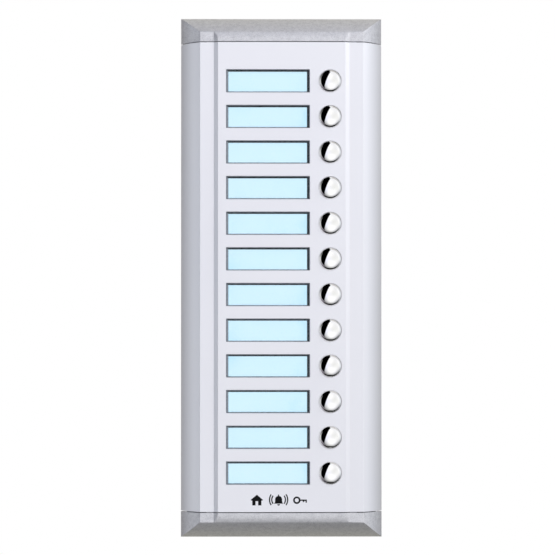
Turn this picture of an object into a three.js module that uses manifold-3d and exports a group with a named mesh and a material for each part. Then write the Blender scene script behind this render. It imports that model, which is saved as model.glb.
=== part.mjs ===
// Door intercom call panel with twelve call buttons and twelve lit name windows.
//
// Frame: millimetres, +Z up, +X to the right of a person facing the panel.
// The panel faces -Y. The wall is the plane y = 0 and the origin is the centre
// of the wall face. "Height" h below is the distance in front of the wall, so
// y = -h.
//
// Build: an extruded aluminium front closed by two snap-on end caps. Behind the
// front lies a black carrier that holds the windows, the name cards and the
// buttons; a diffuser, a rubber keypad mat and a circuit board close it from
// behind. A base plate screws to the extrusion and carries the wall gasket.
import * as THREE from "three";
import { mergeVertices } from "three/addons/utils/BufferGeometryUtils.js";
import Module from "manifold-3d";

// ---------------------------------------------------------------- dimensions
const PANEL_W = 125; // overall width
const PANEL_H = 323; // overall height, caps included
const PROFILE_LEN = 290.4; // cut length of the extrusion
const SEAM = 0.3; // gap between extrusion and cap
const WALL = 2; // wall of the extrusion
const CAP_WALL = 1.8; // wall of an end cap

const H_PLATEAU = 18; // raised centre field
const H_LEDGE = 16.4; // flat band on each side of it
const H_LAND = 1; // where the curved flank ends
const H_REAR = 0.4; // rear edge of the shell, just off the wall
const X_PLATEAU = 39.4; // half width of the centre field
const X_STEP = 41.9; // foot of the sloped step
const X_CREASE = 50.5; // flat band meets the curved flank
const FLANK_START = (36 * Math.PI) / 180; // slope of the flank at the crease
const FLANK_SEGMENTS = 8;
const Z_RAMP = 151.5; // cap ramp ends and its curved bevel starts
const CAP_RAMP = [
  [147.7, 17.73],
  [149.7, 17.2],
]; // the ramp rolls over gently on its way down from the seam

const ROWS = 12;
const PITCH = 22; // spacing of the rows
const ROW_TOP = 121; // height of the first row
const BUTTON_X = 29.9;
const BUTTON_R = 6.7;
const BUTTON_HOLE_R = 6.95;
const FLANGE_R = 7.9;
const TRAVEL = 1.5; // button travel
const WINDOW = { x0: -34.4, x1: 17.3, h: 14.2 }; // cut-out in the front
const APERTURE = { x0: -33.0, x1: 15.7, h: 12.4, drop: 0.28 }; // inside the black rim

// stack of the parts behind the front, as heights above the wall
const H_RIM = 17.3;
const H_FUNNEL = 16.6; // the rim slopes in to this height at the window
const H_CARRIER = 14.8;
const H_CARRIER_BACK = 13.8;
const H_LADDER_BACK = 12.5;
const H_BOARD_FRONT = 9;
const H_BOARD_BACK = 7.4;
const H_BASE_FRONT = 3;
const H_BASE_BACK = 1;
const CARRIER_X = 40;
const CARRIER_Z = 139;
const BOARD_X = 38.4;
const BOARD_Z = 137.4;
const BASE_X = 58.8;
const BASE_Z = 157.6;

const SCREW_CHANNEL_X = 49.9;
const REAR_SCREW_Z = [120, 0, -120];
const WALL_HOLE = { x: 34, z: 150, r: 2.3 };
const BOARD_SCREWS = [
  [-30, 110],
  [18, 110],
  [-30, -110],
  [18, -110],
];
const SERVICE = { x0: -36, x1: 36, z0: -86, z1: -14 }; // opening for the wiring

// ------------------------------------------------------------------- helpers
const wasm = await Module();
wasm.setup();

// A closed three.js geometry as a solid, turned the right way out.
function solid(geometry) {
  const g = new THREE.BufferGeometry().setAttribute(
    "position",
    (geometry.index ? geometry.toNonIndexed() : geometry).getAttribute(
      "position",
    ),
  );
  const m = mergeVertices(g, 1e-4);
  const tri = new Uint32Array(m.index.array);
  const make = () =>
    new wasm.Manifold(
      new wasm.Mesh({
        numProp: 3,
        vertProperties: m.attributes.position.array,
        triVerts: tri,
      }),
    );
  let s = make();
  if (s.volume() < 0) {
    for (let i = 0; i < tri.length; i += 3)
      [tri[i + 1], tri[i + 2]] = [tri[i + 2], tri[i + 1]];
    s = make();
  }
  return s;
}

function geometryOf(s) {
  const m = s.getMesh();
  const n = m.numProp;
  const v = new Float32Array(m.numVert * 3);
  for (let i = 0; i < m.numVert; i++)
    v.set(m.vertProperties.subarray(i * n, i * n + 3), i * 3);
  const g = new THREE.BufferGeometry()
    .setAttribute("position", new THREE.BufferAttribute(v, 3))
    .setIndex(new THREE.BufferAttribute(new Uint32Array(m.triVerts), 1));
  g.computeVertexNormals();
  return g;
}

const shapeOf = (points) =>
  new THREE.Shape(points.map(([a, b]) => new THREE.Vector2(a, b)));

// points are [x, h]; the shape is drawn along Z from z0 to z1
function alongZ(points, z0, z1) {
  const g = new THREE.ExtrudeGeometry(
    shapeOf(points.map(([x, h]) => [x, -h])),
    { depth: z1 - z0, bevelEnabled: false },
  );
  return solid(g.translate(0, 0, z0));
}

// points are [x, z]; the shape is drawn out of the wall from h0 to h1
function outward(points, h0, h1) {
  const g = new THREE.ExtrudeGeometry(shapeOf(points), {
    depth: h1 - h0,
    bevelEnabled: false,
  });
  return solid(g.rotateX(Math.PI / 2).translate(0, -h0, 0));
}

// points are [z, h]; the shape is drawn along X from x0 to x1
function alongX(points, x0, x1) {
  const g = new THREE.ExtrudeGeometry(
    shapeOf(points.map(([z, h]) => [-h, z])),
    { depth: x1 - x0, bevelEnabled: false },
  );
  // the shape's own (x, y, z) become (y, z, x)
  g.applyMatrix4(
    new THREE.Matrix4().set(0, 0, 1, 0, 1, 0, 0, 0, 0, 1, 0, 0, 0, 0, 0, 1),
  );
  return solid(g.translate(x0, 0, 0));
}

const rect = (x0, x1, z0, z1) => [
  [x0, z0],
  [x1, z0],
  [x1, z1],
  [x0, z1],
];
const block = (x0, x1, z0, z1, h0, h1) =>
  outward(rect(x0, x1, z0, z1), h0, h1);

function rounded(x0, x1, z0, z1, r, n = 4) {
  const out = [];
  for (const [cx, cz, a0] of [
    [x1 - r, z0 + r, -90],
    [x1 - r, z1 - r, 0],
    [x0 + r, z1 - r, 90],
    [x0 + r, z0 + r, 180],
  ])
    for (let i = 0; i <= n; i++) {
      const a = ((a0 + (90 * i) / n) * Math.PI) / 180;
      out.push([cx + r * Math.cos(a), cz + r * Math.sin(a)]);
    }
  return out;
}

// four sloping sides: rectangle a at height ha, rectangle b at height hb
function funnel(a, ha, b, hb) {
  const g = new THREE.BoxGeometry(2, 2, 2);
  const p = g.getAttribute("position");
  for (let i = 0; i < p.count; i++) {
    const front = p.getY(i) < 0;
    const r = front ? b : a;
    p.setXYZ(
      i,
      p.getX(i) < 0 ? r.x0 : r.x1,
      -(front ? hb : ha),
      p.getZ(i) < 0 ? r.z0 : r.z1,
    );
  }
  return solid(g);
}

function circle(x, z, r, n = 24) {
  const out = [];
  for (let i = 0; i < n; i++) {
    const a = (2 * Math.PI * (i + 0.5)) / n;
    out.push([x + r * Math.cos(a), z + r * Math.sin(a)]);
  }
  return out;
}

// turned about the axis that points out of the wall; profile is [radius, h]
function turned(profile, n = 20) {
  const g = new THREE.LatheGeometry(
    profile.map(([r, h]) => new THREE.Vector2(r, -h)),
    n,
  );
  return solid(g);
}

const union = (...s) => s.reduce((a, b) => a.add(b));
const cut = (a, ...s) => s.reduce((x, y) => x.subtract(y), a);
const rowZ = (i) => ROW_TOP - PITCH * i;
const rows = [...Array(ROWS).keys()];

// -------------------------------------------------------- the outer contour
// The curved flank, from the crease (0, 0) to the land (1, 1): share of the
// flank's width against share of its drop.
const FLANK_W = PANEL_W / 2 - X_CREASE;
const FLANK_D = H_LEDGE - H_LAND;
const chord = Math.hypot(FLANK_W, FLANK_D);
const chordAngle = Math.atan2(FLANK_D, FLANK_W);
const FLANK_R = chord / (2 * Math.sin(chordAngle - FLANK_START));
const FLANK_C = [
  X_CREASE - FLANK_R * Math.sin(FLANK_START),
  H_LEDGE - FLANK_R * Math.cos(FLANK_START),
];
const flankEnd = 2 * chordAngle - FLANK_START;
function flank(r, n, from = FLANK_START, to = flankEnd) {
  const out = [];
  for (let i = 0; i <= n; i++) {
    const a = from + ((to - from) * i) / n;
    out.push([FLANK_C[0] + r * Math.sin(a), FLANK_C[1] + r * Math.cos(a)]);
  }
  return out;
}
const bevelShare = flank(FLANK_R, FLANK_SEGMENTS).map(([x, h]) => [
  (x - X_CREASE) / FLANK_W,
  (H_LEDGE - h) / FLANK_D,
]);

const mirrored = (half) => [
  ...half,
  ...half
    .slice()
    .reverse()
    .map(([x, h]) => [-x, h]),
];

// right half of the outside, from the rear edge to the centre field
const outerHalf = [
  [PANEL_W / 2, H_REAR],
  ...flank(FLANK_R, FLANK_SEGMENTS).reverse(),
  [X_STEP, H_LEDGE],
  [X_PLATEAU, H_PLATEAU],
];
// the same, set in by a wall
function innerHalf(t, rear = H_REAR) {
  const r = FLANK_R - t;
  const from = Math.acos((H_LEDGE - t - FLANK_C[1]) / r);
  const to = Math.acos((rear - FLANK_C[1]) / r);
  const nx = (H_PLATEAU - H_LEDGE) / Math.hypot(1.6, 2.5);
  const nh = (X_STEP - X_PLATEAU) / Math.hypot(1.6, 2.5);
  const slope = (X_STEP - X_PLATEAU) / (H_PLATEAU - H_LEDGE);
  const px = X_PLATEAU - t * nx;
  const ph = H_PLATEAU - t * nh;
  const xTop = px + (ph - (H_PLATEAU - t)) * slope;
  const xFoot = px + (ph - (H_LEDGE - t)) * slope;
  return [
    ...flank(r, FLANK_SEGMENTS, from, to).reverse(),
    [xFoot, H_LEDGE - t],
    [xTop, H_PLATEAU - t],
  ];
}

// --------------------------------------------------------------- front panel
const halfLen = PROFILE_LEN / 2;
const inside = innerHalf(WALL);
let frontPanel = alongZ(
  [
    ...outerHalf,
    ...outerHalf
      .slice()
      .reverse()
      .map(([x, h]) => [-x, h]),
    ...inside.map(([x, h]) => [-x, h]),
    ...inside.slice().reverse(),
  ],
  -halfLen,
  halfLen,
);
// two ribs on each side make a screw channel that runs the whole length
for (const side of [-1, 1])
  for (const [x0, x1, top] of [
    [SCREW_CHANNEL_X - 2.5, SCREW_CHANNEL_X - 1.3, H_LEDGE - 1],
    [SCREW_CHANNEL_X + 1.3, SCREW_CHANNEL_X + 2.5, 13.2],
  ])
    frontPanel = frontPanel.add(
      alongZ(
        rect(side * x0, side * x1, H_BASE_FRONT + 0.1, top),
        -halfLen,
        halfLen,
      ),
    );
for (const i of rows) {
  const z = rowZ(i);
  frontPanel = cut(
    frontPanel,
    outward(
      rounded(
        WINDOW.x0,
        WINDOW.x1,
        z - WINDOW.h / 2,
        z + WINDOW.h / 2,
        0.5,
        1,
      ),
      H_LEDGE - 3,
      H_PLATEAU + 1,
    ),
    outward(
      circle(BUTTON_X, z, BUTTON_HOLE_R, 20),
      H_LEDGE - 3,
      H_PLATEAU + 1,
    ),
  );
}

// ------------------------------------------------------------------ end caps
// A cap for the top end: the front's own contour, met by a ramp and a bevel.
// The same curve in both directions gives a straight mitre at each corner.
function capSolid() {
  const z0 = halfLen + SEAM;
  const half = PANEL_H / 2;
  const bevelDepth = half - Z_RAMP;
  const outerSide = [
    [z0, H_REAR],
    [z0, H_PLATEAU],
    ...CAP_RAMP,
    ...bevelShare.map(([a, b]) => [
      Z_RAMP + a * bevelDepth,
      H_LEDGE - b * FLANK_D,
    ]),
    [half, H_REAR],
  ];
  const outer = alongZ(mirrored(outerHalf), z0, half).intersect(
    alongX(outerSide, -PANEL_W, PANEL_W),
  );
  // hollow, open at the rear and towards the extrusion
  const t = CAP_WALL;
  const hollowSide = [
    [z0 - 1, -1],
    [z0 - 1, H_PLATEAU - t + 0.27],
    ...bevelShare.map(([a, b]) => [
      Z_RAMP - 0.7 + a * (bevelDepth - t + 0.7),
      H_LEDGE - t - b * (FLANK_D - t + 0.6),
    ]),
    [half - t, -1],
  ];
  const inner = innerHalf(t);
  const hollow = alongZ(
    mirrored([[inner[0][0], -1], ...inner]),
    z0 - 1,
    half,
  ).intersect(alongX(hollowSide, -PANEL_W, PANEL_W));
  let cap = outer.subtract(hollow);
  // two tongues reach into the extrusion; a barb on each hooks the base plate
  for (const side of [-1, 1]) {
    const x = (a, b) => [side * a, side * b].sort((p, q) => p - q);
    const [xa, xb] = x(42, 46.4);
    cap = cap.add(
      alongX(
        [
          [z0 + 5, 11.9],
          [z0 + 5, H_LEDGE - t + 0.3],
          [z0 + 0.2, H_LEDGE - t + 0.3],
          [z0 + 0.2, 14.1],
          [133.5, 14.1],
          [133, 13.4],
          [133, 11.9],
          [133.8, 11.2],
          [135.6, 10.4],
          [136.7, 10.4],
          [136.7, 11.9],
        ],
        xa,
        xb,
      ),
    );
  }
  return cap;
}
const cap = capSolid();

// ------------------------------------------------------------------- buttons
// Domed push button: polished head, retaining flange, guide stem.
const buttonProfile = [
  [0, 20.5],
  [2.4, 20.32],
  [4.4, 19.86],
  [5.9, 19.2],
  [6.55, 18.7],
  [BUTTON_R, 18.2],
  [BUTTON_R, 15.9],
  [FLANGE_R, 15.9],
  [FLANGE_R, 14.9],
  [3, 14.9],
  [3, 12.2],
  [0, 12.2],
];
const button = turned(buttonProfile, 16);

// ----------------------------------------------------------- windows and cards
const apertureW = APERTURE.x1 - APERTURE.x0;
const apertureX = (APERTURE.x0 + APERTURE.x1) / 2;
// Clear window: a pad that fills the rim, and a flange behind it.
const windowPad = outward(
  rounded(
    -apertureW / 2 + 0.1,
    apertureW / 2 - 0.1,
    -APERTURE.h / 2 + 0.1,
    APERTURE.h / 2 - 0.1,
    0.6,
    2,
  ),
  13,
  16.5,
);
const nameWindow = windowPad.add(
  block(-apertureW / 2 - 0.9, apertureW / 2 + 0.9, -7, 7, 12.95, 13.7),
);
const nameCard = block(
  -apertureW / 2 - 0.8,
  apertureW / 2 + 0.8,
  -6.9,
  6.9,
  12.55,
  12.85,
);

// ------------------------------------------------------------------- carrier
const LIGHT = { x0: -36.2, x1: 18.8 }; // the lit column behind the windows
let carrier = block(
  -CARRIER_X,
  CARRIER_X,
  -CARRIER_Z,
  CARRIER_Z,
  H_BOARD_FRONT + 0.1,
  H_CARRIER,
);
// open behind, inside a wall all round
carrier = cut(
  carrier,
  block(
    -CARRIER_X + 1.2,
    CARRIER_X - 1.2,
    -CARRIER_Z + 1.2,
    CARRIER_Z - 1.2,
    0,
    H_CARRIER_BACK,
  ),
);
// ladder that locates the windows and the cards
carrier = carrier.add(
  block(
    LIGHT.x0,
    LIGHT.x1,
    -ROW_TOP - 9.4,
    ROW_TOP + 9.4,
    H_LADDER_BACK,
    H_CARRIER_BACK + 0.2,
  ),
);
for (const [x, z] of BOARD_SCREWS)
  carrier = carrier.add(
    outward(circle(x, z, 2.6, 12), H_BOARD_FRONT + 0.1, H_CARRIER_BACK + 0.2),
  );
// a ring behind each button guides it and presses on the mat
for (const i of rows)
  carrier = carrier.add(
    outward(circle(BUTTON_X, rowZ(i), 8.9, 12), 10.3, H_CARRIER_BACK + 0.2),
  );
// bars between the rows bear on the back of the front
for (const z of [110, 66, 22, -22, -66, -110])
  carrier = carrier.add(block(-36, 20, z - 1.4, z + 1.4, 14.6, 15.9));
for (const i of rows) {
  const z = rowZ(i);
  const za = z - APERTURE.drop;
  carrier = carrier.add(
    outward(
      rounded(
        WINDOW.x0 + 0.15,
        WINDOW.x1 - 0.15,
        z - WINDOW.h / 2 + 0.15,
        z + WINDOW.h / 2 - 0.15,
        0.4,
        1,
      ),
      H_CARRIER - 0.2,
      H_RIM,
    ),
  );
  carrier = cut(
    carrier,
    block(
      APERTURE.x0,
      APERTURE.x1,
      za - APERTURE.h / 2,
      za + APERTURE.h / 2,
      5,
      20,
    ),
    funnel(
      {
        x0: APERTURE.x0,
        x1: APERTURE.x1,
        z0: za - APERTURE.h / 2,
        z1: za + APERTURE.h / 2,
      },
      H_FUNNEL,
      {
        x0: WINDOW.x0 + 0.35,
        x1: WINDOW.x1 - 0.35,
        z0: z - WINDOW.h / 2 + 0.35,
        z1: z + WINDOW.h / 2 - 0.35,
      },
      H_RIM + 0.01,
    ),
    block(APERTURE.x0 - 1, APERTURE.x1 + 1, z - 7.5, z + 7.1, 5, 13.75),
    outward(circle(BUTTON_X, z, 8.3, 16), 13.3, 20),
    outward(circle(BUTTON_X, z, 3.3, 10), 5, 14),
    outward(circle(BUTTON_X, z, 6.2, 12), 5, 12.2),
  );
}
for (const [x, z] of BOARD_SCREWS)
  carrier = carrier.subtract(outward(circle(x, z, 1.4, 8), 5, 13));

// Opal sheet that spreads the light behind all the cards.
let diffuser = block(
  LIGHT.x0,
  LIGHT.x1,
  -ROW_TOP - 9.4,
  ROW_TOP + 9.4,
  11.4,
  12.4,
);
for (const [x, z] of BOARD_SCREWS)
  diffuser = diffuser.subtract(outward(circle(x, z, 3.1, 12), 5, 20));
// feet that stand on the board
for (const z of [88, 44, 0, -44, -88])
  for (const x of [-33, 15])
    diffuser = diffuser.add(
      outward(circle(x, z, 1.4, 6), H_BOARD_FRONT + 0.1, 11.6),
    );

// ---------------------------------------------------------------- keypad mat
let mat = block(21.4, 38.2, -134, 134, H_BOARD_FRONT + 0.1, 10.1);
for (const i of rows) {
  mat = mat.add(
    turned(
      [
        [0, 9.3],
        [5.2, 9.3],
        [5.2, 10.1],
        [3.4, 12.1],
        [0, 12.1],
      ],
      10,
    ).translate(BUTTON_X, 0, rowZ(i)),
  );
}
for (const i of rows)
  mat = mat.subtract(
    turned(
      [
        [0, 8],
        [4, 8],
        [4, 9.9],
        [2.4, 11.2],
        [0, 11.2],
      ],
      10,
    ).translate(BUTTON_X, 0, rowZ(i)),
  );

// ------------------------------------------------------------- circuit board
let board = block(
  -BOARD_X,
  BOARD_X,
  -BOARD_Z,
  BOARD_Z,
  H_BOARD_BACK,
  H_BOARD_FRONT,
);
for (const [x, z] of BOARD_SCREWS)
  board = board.subtract(outward(circle(x, z, 1.6, 10), 5, 12));
// two lamps behind each window
for (const i of rows)
  for (const x of [-22, 5])
    board = board.add(
      block(x - 1.6, x + 1.6, rowZ(i) - 0.8, rowZ(i) + 0.8, 8.9, 9.8),
    );
// chips and other parts on the back
for (const [x, z, w, d, t] of [
  [-6, -32, 10, 10, 1.6],
  [-22, -30, 5, 4, 1.3],
  [14, -28, 8, 5, 1.5],
  [24, -31, 4.4, 4.4, 3.4],
  [30, -26, 4.4, 4.4, 3.4],
  [-30, -44, 3.2, 1.6, 0.8],
  [-24, -44, 3.2, 1.6, 0.8],
  [-18, -44, 3.2, 1.6, 0.8],
  [10, -44, 3.2, 1.6, 0.8],
  [16, -44, 3.2, 1.6, 0.8],
  [22, -44, 3.2, 1.6, 0.8],
  [28, -44, 3.2, 1.6, 0.8],
])
  board = board.add(
    block(
      x - w / 2,
      x + w / 2,
      z - d / 2,
      z + d / 2,
      H_BOARD_BACK - t,
      H_BOARD_BACK + 0.1,
    ),
  );

// Six-way terminal block for the bus, the supply and the lamps.
const TERMINAL = { x0: -33, x1: -2.5, z0: -67, z1: -57.5 };
let terminal = block(
  TERMINAL.x0,
  TERMINAL.x1,
  TERMINAL.z0,
  TERMINAL.z1,
  1.2,
  H_BOARD_BACK - 0.1,
);
for (let i = 0; i < 6; i++) {
  const x = TERMINAL.x0 + 2.54 + 5.08 * i;
  terminal = cut(
    terminal,
    outward(circle(x, TERMINAL.z1 - 4, 1.6, 8), 0, 3.4),
    block(
      x - 1.6,
      x + 1.6,
      TERMINAL.z0 - 1,
      TERMINAL.z0 + 5,
      H_BOARD_BACK - 4.6,
      H_BOARD_BACK - 1.4,
    ),
  );
}

// Shrouded five-way socket that links this panel to the next unit.
const LINK = { x0: 9, x1: 25, z0: -66, z1: -60.4 };
let link = cut(
  block(LINK.x0, LINK.x1, LINK.z0, LINK.z1, 1.8, H_BOARD_BACK - 0.1),
  block(LINK.x0 + 1, LINK.x1 - 1, LINK.z0 + 1, LINK.z1 - 1, 0, 6),
  block(15.4, 18.6, LINK.z0 - 1, LINK.z0 + 2, 0, 5),
);
for (let i = 0; i < 5; i++)
  link = link.add(
    block(
      11.92 + 2.54 * i - 0.32,
      11.92 + 2.54 * i + 0.32,
      -63.52,
      -62.88,
      2.6,
      6.2,
    ),
  );

// ---------------------------------------------------------------- base plate
let base = outward(
  rounded(-BASE_X, BASE_X, -BASE_Z, BASE_Z, 3, 3),
  H_BASE_BACK,
  H_BASE_FRONT,
);
base = base.subtract(
  outward(
    rounded(SERVICE.x0, SERVICE.x1, SERVICE.z0, SERVICE.z1, 4, 3),
    0,
    5,
  ),
);
// stiffening ribs, posts under the board, catches for the caps
for (const z of [-108, 20, 50, 80, 112])
  base = base.add(block(-36, 36, z - 0.8, z + 0.8, H_BASE_FRONT - 0.2, 5.4));
for (const [x, z] of [
  [-30, 96],
  [18, 96],
  [-30, 36],
  [18, 36],
  [-30, -5],
  [18, -5],
  [-30, -94],
  [18, -94],
])
  base = base.add(
    outward(circle(x, z, 3, 8), H_BASE_FRONT - 0.2, H_BOARD_BACK - 0.1),
  );
for (const side of [-1, 1])
  for (const end of [-1, 1])
    base = base.add(
      block(
        Math.min(side * 42.4, side * 46),
        Math.max(side * 42.4, side * 46),
        Math.min(end * 137, end * 139.6),
        Math.max(end * 137, end * 139.6),
        H_BASE_FRONT - 0.2,
        11.5,
      ),
    );
// pad in the middle that stands on the wall
base = base.add(block(-10, 10, -7, 7, 0, H_BASE_BACK + 0.2));
for (const side of [-1, 1]) {
  for (const z of REAR_SCREW_Z)
    base = base.subtract(
      turned(
        [
          [0, 0],
          [3.5, 0],
          [3.5, 1.2],
          [1.75, 2.8],
          [1.75, 4],
          [0, 4],
        ],
        12,
      ).translate(side * SCREW_CHANNEL_X, 0, z),
    );
  // wall screw holes, each in a pad that stands on the wall
  for (const end of [-1, 1]) {
    const [x, z] = [side * WALL_HOLE.x, end * WALL_HOLE.z];
    base = base
      .add(block(x - 8, x + 8, z - 3.2, z + 3.2, 0, H_BASE_BACK + 0.2))
      .subtract(outward(circle(x, z, WALL_HOLE.r, 12), -1, 5));
  }
}

// Foam gasket between the base plate and the wall.
const gasket = cut(
  outward(rounded(-BASE_X, BASE_X, -BASE_Z, BASE_Z, 3, 3), 0, H_BASE_BACK - 0.05),
  outward(rounded(-54, 54, -153.4, 153.4, 2, 3), -1, 3),
);

// -------------------------------------------------------------------- screws
// Countersunk, six-lobe recess drawn as a hexagon.
const rearScrew = turned(
  [
    [0, 1.1],
    [3.1, 1.1],
    [3.1, 1.4],
    [1.2, 3.1],
    [1.2, 10.2],
    [0, 11.2],
  ],
  12,
).subtract(outward(circle(0, 0, 1.3, 6), 0, 2));
// Pan head, drives through the board into the carrier.
const boardScrew = turned(
  [
    [0, 5.6],
    [1.9, 5.6],
    [2.5, 6.2],
    [2.5, 7.3],
    [1.2, 7.3],
    [1.2, 12.1],
    [0, 12.7],
  ],
  12,
).subtract(outward(circle(0, 0, 1.1, 6), 0, 6.6));

// --------------------------------------------------------------- materials
const metal = (color, roughness, metalness) =>
  new THREE.MeshStandardMaterial({ color, roughness, metalness });
const M = {
  aluminium: metal(0xdfe0e8, 0.42, 1),
  cap: metal(0xb9bac4, 0.5, 0.9),
  chrome: metal(0xf2f2f0, 0.04, 1),
  clear: new THREE.MeshStandardMaterial({
    color: 0xe8fbff,
    roughness: 0.06,
    metalness: 0,
    transparent: true,
    opacity: 0.3,
  }),
  card: new THREE.MeshStandardMaterial({
    color: 0xcdf1fb,
    roughness: 0.7,
    metalness: 0,
    emissive: 0xa8e6f7,
    emissiveIntensity: 0.5,
  }),
  black: metal(0x1b1c1f, 0.5, 0),
  opal: metal(0xf1f6f7, 0.5, 0),
  rubber: metal(0x8b8f93, 0.8, 0),
  board: metal(0x1c5a36, 0.5, 0),
  terminal: metal(0x2f8f4a, 0.5, 0),
  base: metal(0x2a2c2f, 0.6, 0),
  foam: metal(0x151515, 0.95, 0),
  zinc: metal(0xb7b9bc, 0.35, 1),
};

// ------------------------------------------------------------------ assembly
const panel = new THREE.Group();
panel.name = "door_intercom_panel";

function place(parent, name, s, material, x = 0, z = 0) {
  const mesh = new THREE.Mesh(
    s.isBufferGeometry ? s : geometryOf(s),
    material,
  );
  mesh.name = name;
  mesh.position.set(x, 0, z);
  parent.add(mesh);
  return mesh;
}
const two = (i) => String(i + 1).padStart(2, "0");

const shell = new THREE.Group();
place(shell, "front_panel", frontPanel, M.aluminium);
place(shell, "top_end_cap", cap, M.cap);
place(shell, "bottom_end_cap", cap.mirror([0, 0, 1]), M.cap);
panel.add(shell);

const front = new THREE.Group();
const buttonGeometry = geometryOf(button);
const windowGeometry = geometryOf(nameWindow);
const cardGeometry = geometryOf(nameCard);
for (const i of rows) {
  const z = rowZ(i);
  place(front, `call_button_${two(i)}`, buttonGeometry, M.chrome, BUTTON_X, z);
  place(
    front,
    `name_window_${two(i)}`,
    windowGeometry,
    M.clear,
    apertureX,
    z - APERTURE.drop,
  );
  place(
    front,
    `name_card_${two(i)}`,
    cardGeometry,
    M.card,
    apertureX,
    z - APERTURE.drop,
  );
}
place(front, "carrier_frame", carrier, M.black);
place(front, "light_diffuser", diffuser, M.opal);
place(front, "keypad_mat", mat, M.rubber);
panel.add(front);

const electronics = new THREE.Group();
place(electronics, "circuit_board", board, M.board);
place(electronics, "terminal_block", terminal, M.terminal);
place(electronics, "link_socket", link, M.black);
panel.add(electronics);

const rear = new THREE.Group();
place(rear, "base_plate", base, M.base);
place(rear, "wall_gasket", gasket, M.foam);
const rearScrewGeometry = geometryOf(rearScrew);
const boardScrewGeometry = geometryOf(boardScrew);
let n = 0;
for (const side of [-1, 1])
  for (const z of REAR_SCREW_Z)
    place(
      rear,
      `rear_screw_${++n}`,
      rearScrewGeometry,
      M.zinc,
      side * SCREW_CHANNEL_X,
      z,
    );
BOARD_SCREWS.forEach(([x, z], i) =>
  place(rear, `board_screw_${i + 1}`, boardScrewGeometry, M.zinc, x, z),
);
panel.add(rear);

export default panel;
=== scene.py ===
"""Door intercom call panel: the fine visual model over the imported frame.

Everything is in metres in the row frame: +X right, +Z up, the panel faces -Y and
the wall is the plane y = 0. "h" is the height in front of the wall, so y = -h.
"""
import math
import random

import bpy
import bmesh
from mathutils import Matrix, Vector


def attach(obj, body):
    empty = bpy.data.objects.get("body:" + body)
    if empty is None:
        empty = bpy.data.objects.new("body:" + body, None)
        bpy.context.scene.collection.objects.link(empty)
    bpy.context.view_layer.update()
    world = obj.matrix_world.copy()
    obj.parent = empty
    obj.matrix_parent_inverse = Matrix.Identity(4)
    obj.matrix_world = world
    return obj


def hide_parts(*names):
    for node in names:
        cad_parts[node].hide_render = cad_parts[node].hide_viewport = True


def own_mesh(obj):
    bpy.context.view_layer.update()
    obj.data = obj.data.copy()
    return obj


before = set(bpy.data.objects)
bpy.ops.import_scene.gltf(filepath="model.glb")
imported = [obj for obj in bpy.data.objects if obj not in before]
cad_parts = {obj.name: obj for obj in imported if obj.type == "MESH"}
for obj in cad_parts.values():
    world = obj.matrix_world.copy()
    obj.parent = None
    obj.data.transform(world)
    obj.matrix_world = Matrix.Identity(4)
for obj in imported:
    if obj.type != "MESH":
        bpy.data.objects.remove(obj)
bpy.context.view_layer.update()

MM = 0.001
rnd = random.Random(7)

# ----------------------------------------------------------------- dimensions
# the same numbers as in the CAD source, in millimetres
PANEL_W, PANEL_H = 125.0, 323.0
HALF_LEN = 145.2
SEAM = 0.3
WALL, CAP_WALL = 2.0, 1.8
H_PLATEAU, H_LEDGE, H_LAND, H_REAR = 18.0, 16.4, 1.0, 0.4
X_PLATEAU, X_STEP, X_CREASE = 39.4, 41.9, 50.5
FLANK_START = math.radians(36)
Z_RAMP = 151.5
ROWS = 12
PITCH = 22.0
ROW_TOP = 121.0
BUTTON_X, BUTTON_R, HOLE_R, FLANGE_R = 29.9, 6.7, 6.95, 7.9
WIN_X0, WIN_X1, WIN_H = -34.4, 17.3, 14.2
AP_X0, AP_X1, AP_H, AP_DROP = -33.0, 15.7, 12.4, 0.28
H_RIM = 17.3

ROOT = "panel"


def row_z(i):
    return ROW_TOP - PITCH * i


# -------------------------------------------------------------------- helpers
def new_object(name, verts, faces, sharp=None):
    """verts are (x, h, z) in millimetres."""
    me = bpy.data.meshes.new(name)
    me.from_pydata([(x * MM, -h * MM, z * MM) for x, h, z in verts], [], faces)
    bm = bmesh.new()
    bm.from_mesh(me)
    bmesh.ops.recalc_face_normals(bm, faces=bm.faces)
    bm.to_mesh(me)
    bm.free()
    me.polygons.foreach_set("use_smooth", [True] * len(me.polygons))
    if sharp is not None:
        me.set_sharp_from_angle(angle=math.radians(sharp))
    ob = bpy.data.objects.new(name, me)
    bpy.context.collection.objects.link(ob)
    return ob


def loft(loops, ends=True, base=0):
    """Faces that join loops of the same length, in order; verts are the loops' points."""
    n = len(loops[0])
    verts = [p for loop in loops for p in loop]
    faces = []
    for k in range(len(loops) - 1):
        a, b = base + k * n, base + (k + 1) * n
        for i in range(n):
            j = (i + 1) % n
            faces.append((a + i, a + j, b + j, b + i))
    if ends:
        faces.append(tuple(base + i for i in range(n)))
        last = base + (len(loops) - 1) * n
        faces.append(tuple(last + i for i in reversed(range(n))))
    return verts, faces


def join_parts(parts):
    """Several (verts, faces) into one."""
    verts, faces = [], []
    for v, f in parts:
        o = len(verts)
        verts += v
        faces += [tuple(i + o for i in face) for face in f]
    return verts, faces


def ring(x, z, r, h, n=64, turn=0.0):
    return [
        (
            x + r * math.cos(2 * math.pi * i / n + turn),
            h,
            z + r * math.sin(2 * math.pi * i / n + turn),
        )
        for i in range(n)
    ]


def rounded(x0, x1, z0, z1, r, h, n=6):
    """A rounded rectangle as a loop of points at height h."""
    out = []
    for cx, cz, a0 in (
        (x1 - r, z0 + r, -90),
        (x1 - r, z1 - r, 0),
        (x0 + r, z1 - r, 90),
        (x0 + r, z0 + r, 180),
    ):
        for i in range(n + 1):
            a = math.radians(a0 + 90.0 * i / n)
            out.append((cx + r * math.cos(a), h, cz + r * math.sin(a)))
    return out


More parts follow.
